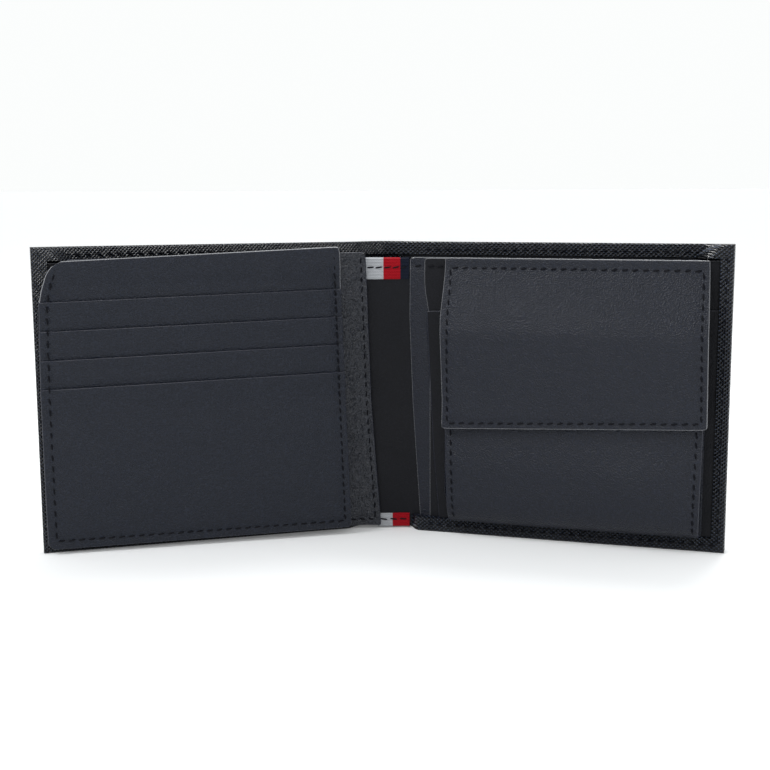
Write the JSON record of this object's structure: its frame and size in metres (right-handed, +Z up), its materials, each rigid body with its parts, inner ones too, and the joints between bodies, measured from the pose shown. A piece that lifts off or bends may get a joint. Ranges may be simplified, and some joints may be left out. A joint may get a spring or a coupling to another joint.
{
  "type": "trifold wallet",
  "caption": "Dark leather wallet standing open like a book, with a hinged card page on the left and a flapped coin pouch on the right.",
  "frame": {"origin": "middle of the footprint, on the surface that the wallet stands on", "axes": "+Z up; +X to the right as the inside is looked at; the inside faces -Y and the spine is at +Y"},
  "size_m": [0.2138, 0.0444, 0.095],
  "materials": {
    "grained_leather": "crosshatch embossed, semi-gloss",
    "smooth_leather": "fine grain, satin",
    "page_leather": "fine grain, satin",
    "lining": "plain woven, matte",
    "board": "raw",
    "ribbon": "ribbed, striped white, red and navy",
    "thread": "waxed",
    "snap": "bright"
  },
  "bodies": {
    "spine": {"spine_leather": "grained_leather", "spine_lining": "lining", "spine_inner_panel": "smooth_leather", "ribbon_top": "ribbon", "ribbon_bottom": "ribbon"},
    "left_cover": {"left_cover_leather": "grained_leather", "left_stiffener": "board", "left_lining": "lining", "left_inner_panel": "smooth_leather", "left_top_thread": "thread", "left_pocket_panel": "smooth_leather", "page_hinge_strip": "smooth_leather", "pocket_thread": "thread"},
    "right_cover": {"right_cover_leather": "grained_leather", "right_stiffener": "board", "right_lining": "lining", "right_inner_panel": "smooth_leather", "right_top_thread": "thread", "right_edge_thread": "thread", "slip_pocket_panel": "smooth_leather", "card_pocket_back": "smooth_leather", "card_pocket_front": "smooth_leather", "coin_pouch_back": "smooth_leather", "coin_gusset_left": "smooth_leather", "coin_gusset_right": "smooth_leather", "coin_pouch_front": "smooth_leather", "snap_stud": "snap", "pouch_thread_left": "thread", "pouch_thread_right": "thread"},
    "card_page": {"page_rear_panel": "page_leather", "page_back_leaf": "page_leather", "card_leaf_1": "page_leather", "card_leaf_2": "page_leather", "card_leaf_3": "page_leather", "card_leaf_4": "page_leather", "page_thread": "thread"},
    "coin_flap": {"coin_flap_leather": "smooth_leather", "coin_flap_lining": "lining", "snap_socket": "snap", "flap_thread": "thread"}
  },
  "joints": [
    {"name": "left_fold", "type": "hinge", "parent": "spine", "child": "left_cover", "pos_m": [-0.006, 0.01204, 0], "axis": [0, 0, 1], "range_deg": [-17, 73]},
    {"name": "right_fold", "type": "hinge", "parent": "spine", "child": "right_cover", "pos_m": [0.006, 0.01204, 0], "axis": [0, 0, -1], "range_deg": [-17, 73]},
    {"name": "page_hinge", "type": "hinge", "parent": "left_cover", "child": "card_page", "pos_m": [-0.10501, -0.01572, 0.045], "axis": [0, 0, -1], "range_deg": [-2.5, 165]},
    {"name": "flap_hinge", "type": "hinge", "parent": "right_cover", "child": "coin_flap", "pos_m": [0.05876, -0.00351, 0.0899], "axis": [-0.9563, 0.2924, 0], "range_deg": [0, 125]}
  ],
  "couplings": [
    {"joint": "right_fold", "follows": "left_fold", "ratio": 1}
  ]
}
